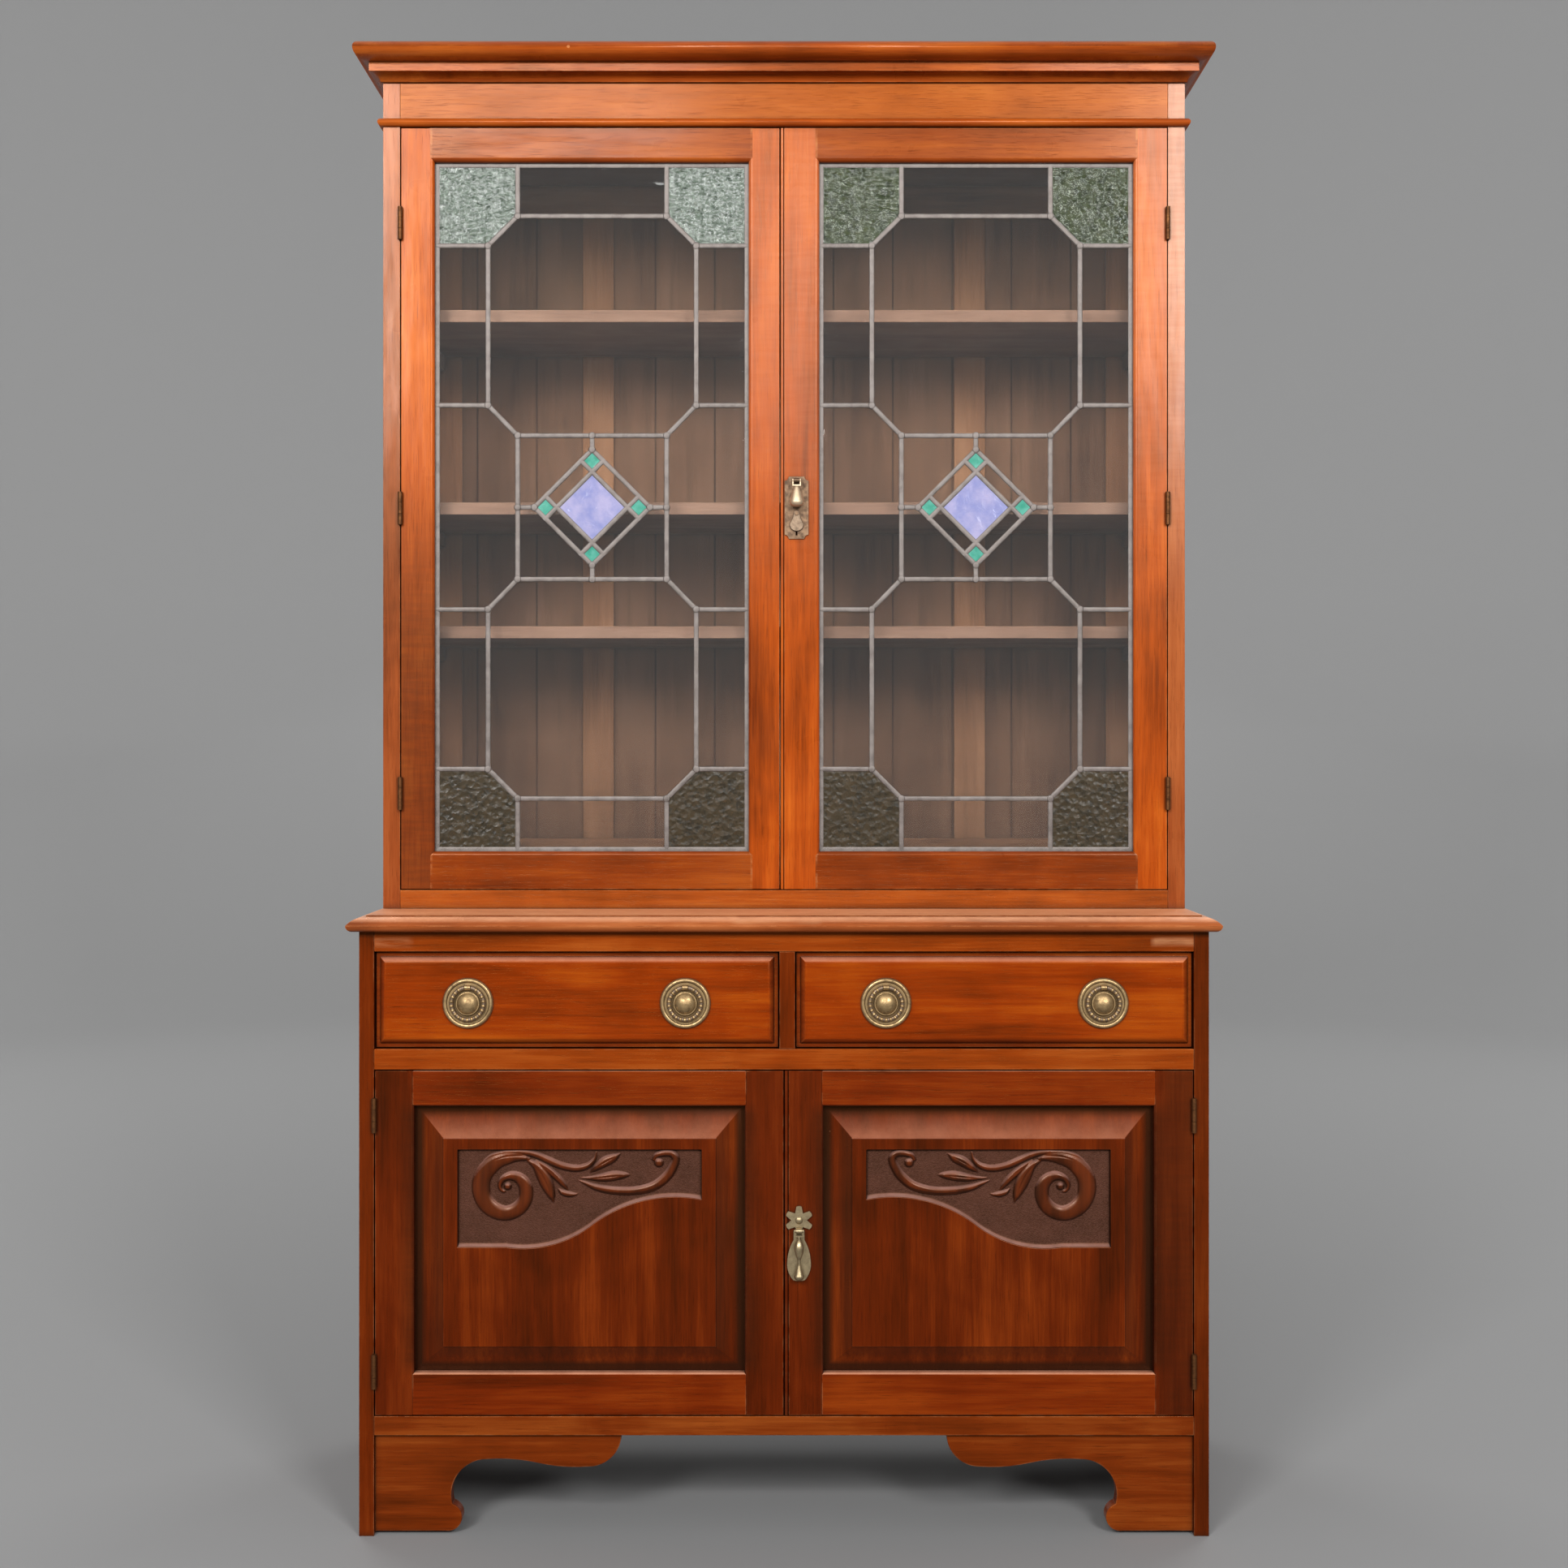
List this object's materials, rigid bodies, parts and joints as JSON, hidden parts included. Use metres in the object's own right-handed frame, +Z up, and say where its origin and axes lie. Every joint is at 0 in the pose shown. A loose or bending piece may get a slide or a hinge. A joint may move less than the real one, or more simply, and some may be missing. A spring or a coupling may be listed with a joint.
{
  "type": "bookcase",
  "caption": "Tall wooden bookcase: upper case with hinged leaded-glass doors, set back on a base with drawers over panelled cupboard doors.",
  "frame": {"origin": "on the floor, under the middle of the whole bookcase", "axes": "+Z up, front faces -Y, +X to the right seen from the front"},
  "size_m": [1.248, 0.44, 2.127],
  "materials": {
    "upper_wood": "gloss",
    "base_wood": "gloss",
    "inner_wood": "matte",
    "handle_brass": "aged",
    "hinge_brass": "aged",
    "lead": "dull",
    "clear_glass": "clear",
    "green_glass": "textured",
    "jewel_glass": "textured"
  },
  "bodies": {
    "carcass": {"base_sides": "base_wood", "worktop": "base_wood", "base_rails": "base_wood", "drawer_divider": "base_wood", "bracket_feet": "base_wood", "drawer_runners": "inner_wood", "base_bottom_board": "inner_wood", "cupboard_shelf": "inner_wood", "base_back": "inner_wood", "upper_boards": "inner_wood", "upper_back_frame": "inner_wood", "upper_back_panels": "inner_wood", "bookshelves": "inner_wood", "bookshelf_cleats": "inner_wood", "cupboard_cleats": "inner_wood", "upper_sides": "upper_wood", "upper_base_rail": "upper_wood", "frieze": "upper_wood", "frieze_bead": "upper_wood", "cornice": "upper_wood", "fixed_hinge_leaves": "hinge_brass"},
    "upper_door_left": {"upper_door_left_stiles": "upper_wood", "upper_door_left_rails": "upper_wood", "upper_door_left_glazing_beads": "upper_wood", "upper_door_left_hinge_leaves": "hinge_brass", "upper_door_left_leads": "lead", "upper_door_left_clear_panes": "clear_glass", "upper_door_left_green_panes": "green_glass", "upper_door_left_jewels": "jewel_glass"},
    "upper_door_right": {"upper_door_right_stiles": "upper_wood", "upper_door_right_rails": "upper_wood", "upper_door_right_glazing_beads": "upper_wood", "upper_door_right_hinge_leaves": "hinge_brass", "upper_door_right_leads": "lead", "upper_door_right_clear_panes": "clear_glass", "upper_door_right_green_panes": "green_glass", "upper_door_right_jewels": "jewel_glass", "upper_handle_plate": "handle_brass"},
    "lower_door_left": {"lower_door_left_stiles": "base_wood", "lower_door_left_rails": "base_wood", "lower_door_left_panel": "base_wood", "lower_door_left_hinge_leaves": "hinge_brass"},
    "lower_door_right": {"lower_door_right_stiles": "base_wood", "lower_door_right_rails": "base_wood", "lower_door_right_panel": "base_wood", "lower_door_right_hinge_leaves": "hinge_brass", "lower_handle_plate": "handle_brass"},
    "drawer_left": {"drawer_left_front": "base_wood", "drawer_left_box": "inner_wood", "drawer_left_pull_plates": "handle_brass"},
    "drawer_right": {"drawer_right_front": "base_wood", "drawer_right_box": "inner_wood", "drawer_right_pull_plates": "handle_brass"},
    "ring_left_outer": {"drawer_left_outer_ring": "handle_brass"},
    "ring_left_inner": {"drawer_left_inner_ring": "handle_brass"},
    "ring_right_inner": {"drawer_right_inner_ring": "handle_brass"},
    "ring_right_outer": {"drawer_right_outer_ring": "handle_brass"},
    "upper_drop": {"upper_handle_drop": "handle_brass"},
    "cover": {"key_cover": "handle_brass"},
    "lower_drop": {"lower_handle_drop": "handle_brass"}
  },
  "joints": [
    {"name": "upper_door_left_hinge", "type": "hinge", "parent": "carcass", "child": "upper_door_left", "pos_m": [-0.56125, -0.084, 1.4545], "axis": [0, 0, -1], "range_deg": [0, 110]},
    {"name": "upper_door_right_hinge", "type": "hinge", "parent": "carcass", "child": "upper_door_right", "pos_m": [0.56125, -0.084, 1.4545], "axis": [0, 0, 1], "range_deg": [0, 110]},
    {"name": "lower_door_left_hinge", "type": "hinge", "parent": "carcass", "child": "lower_door_left", "pos_m": [-0.57325, -0.204, 0.4105], "axis": [0, 0, -1], "range_deg": [0, 110]},
    {"name": "lower_door_right_hinge", "type": "hinge", "parent": "carcass", "child": "lower_door_right", "pos_m": [0.57325, -0.204, 0.4105], "axis": [0, 0, 1], "range_deg": [0, 110]},
    {"name": "drawer_left_slide", "type": "slide", "parent": "carcass", "child": "drawer_left", "axis": [0, -1, 0], "range_m": [0, 0.3]},
    {"name": "drawer_right_slide", "type": "slide", "parent": "carcass", "child": "drawer_right", "axis": [0, -1, 0], "range_m": [0, 0.3]},
    {"name": "ring_left_outer_pivot", "type": "hinge", "parent": "drawer_left", "child": "ring_left_outer", "pos_m": [-0.44225, -0.2056, 0.76875], "axis": [-1, 0, 0], "range_deg": [0, 90]},
    {"name": "ring_left_inner_pivot", "type": "hinge", "parent": "drawer_left", "child": "ring_left_inner", "pos_m": [-0.13825, -0.2056, 0.76875], "axis": [-1, 0, 0], "range_deg": [0, 90]},
    {"name": "ring_right_inner_pivot", "type": "hinge", "parent": "drawer_right", "child": "ring_right_inner", "pos_m": [0.14275, -0.2056, 0.76875], "axis": [-1, 0, 0], "range_deg": [0, 90]},
    {"name": "ring_right_outer_pivot", "type": "hinge", "parent": "drawer_right", "child": "ring_right_outer", "pos_m": [0.44675, -0.2056, 0.76875], "axis": [-1, 0, 0], "range_deg": [0, 90]},
    {"name": "upper_drop_pivot", "type": "hinge", "parent": "upper_door_right", "child": "upper_drop", "pos_m": [0.0184, -0.0928, 1.494], "axis": [-1, 0, 0], "range_deg": [0, 80]},
    {"name": "cover_pivot", "type": "hinge", "parent": "upper_door_right", "child": "cover", "pos_m": [0.0184, -0.0835, 1.447], "axis": [0, 1, 0], "range_deg": [-70, 70]},
    {"name": "lower_drop_pivot", "type": "hinge", "parent": "lower_door_right", "child": "lower_drop", "pos_m": [0.021, -0.2094, 0.4295], "axis": [-1, 0, 0], "range_deg": [0, 80]}
  ]
}
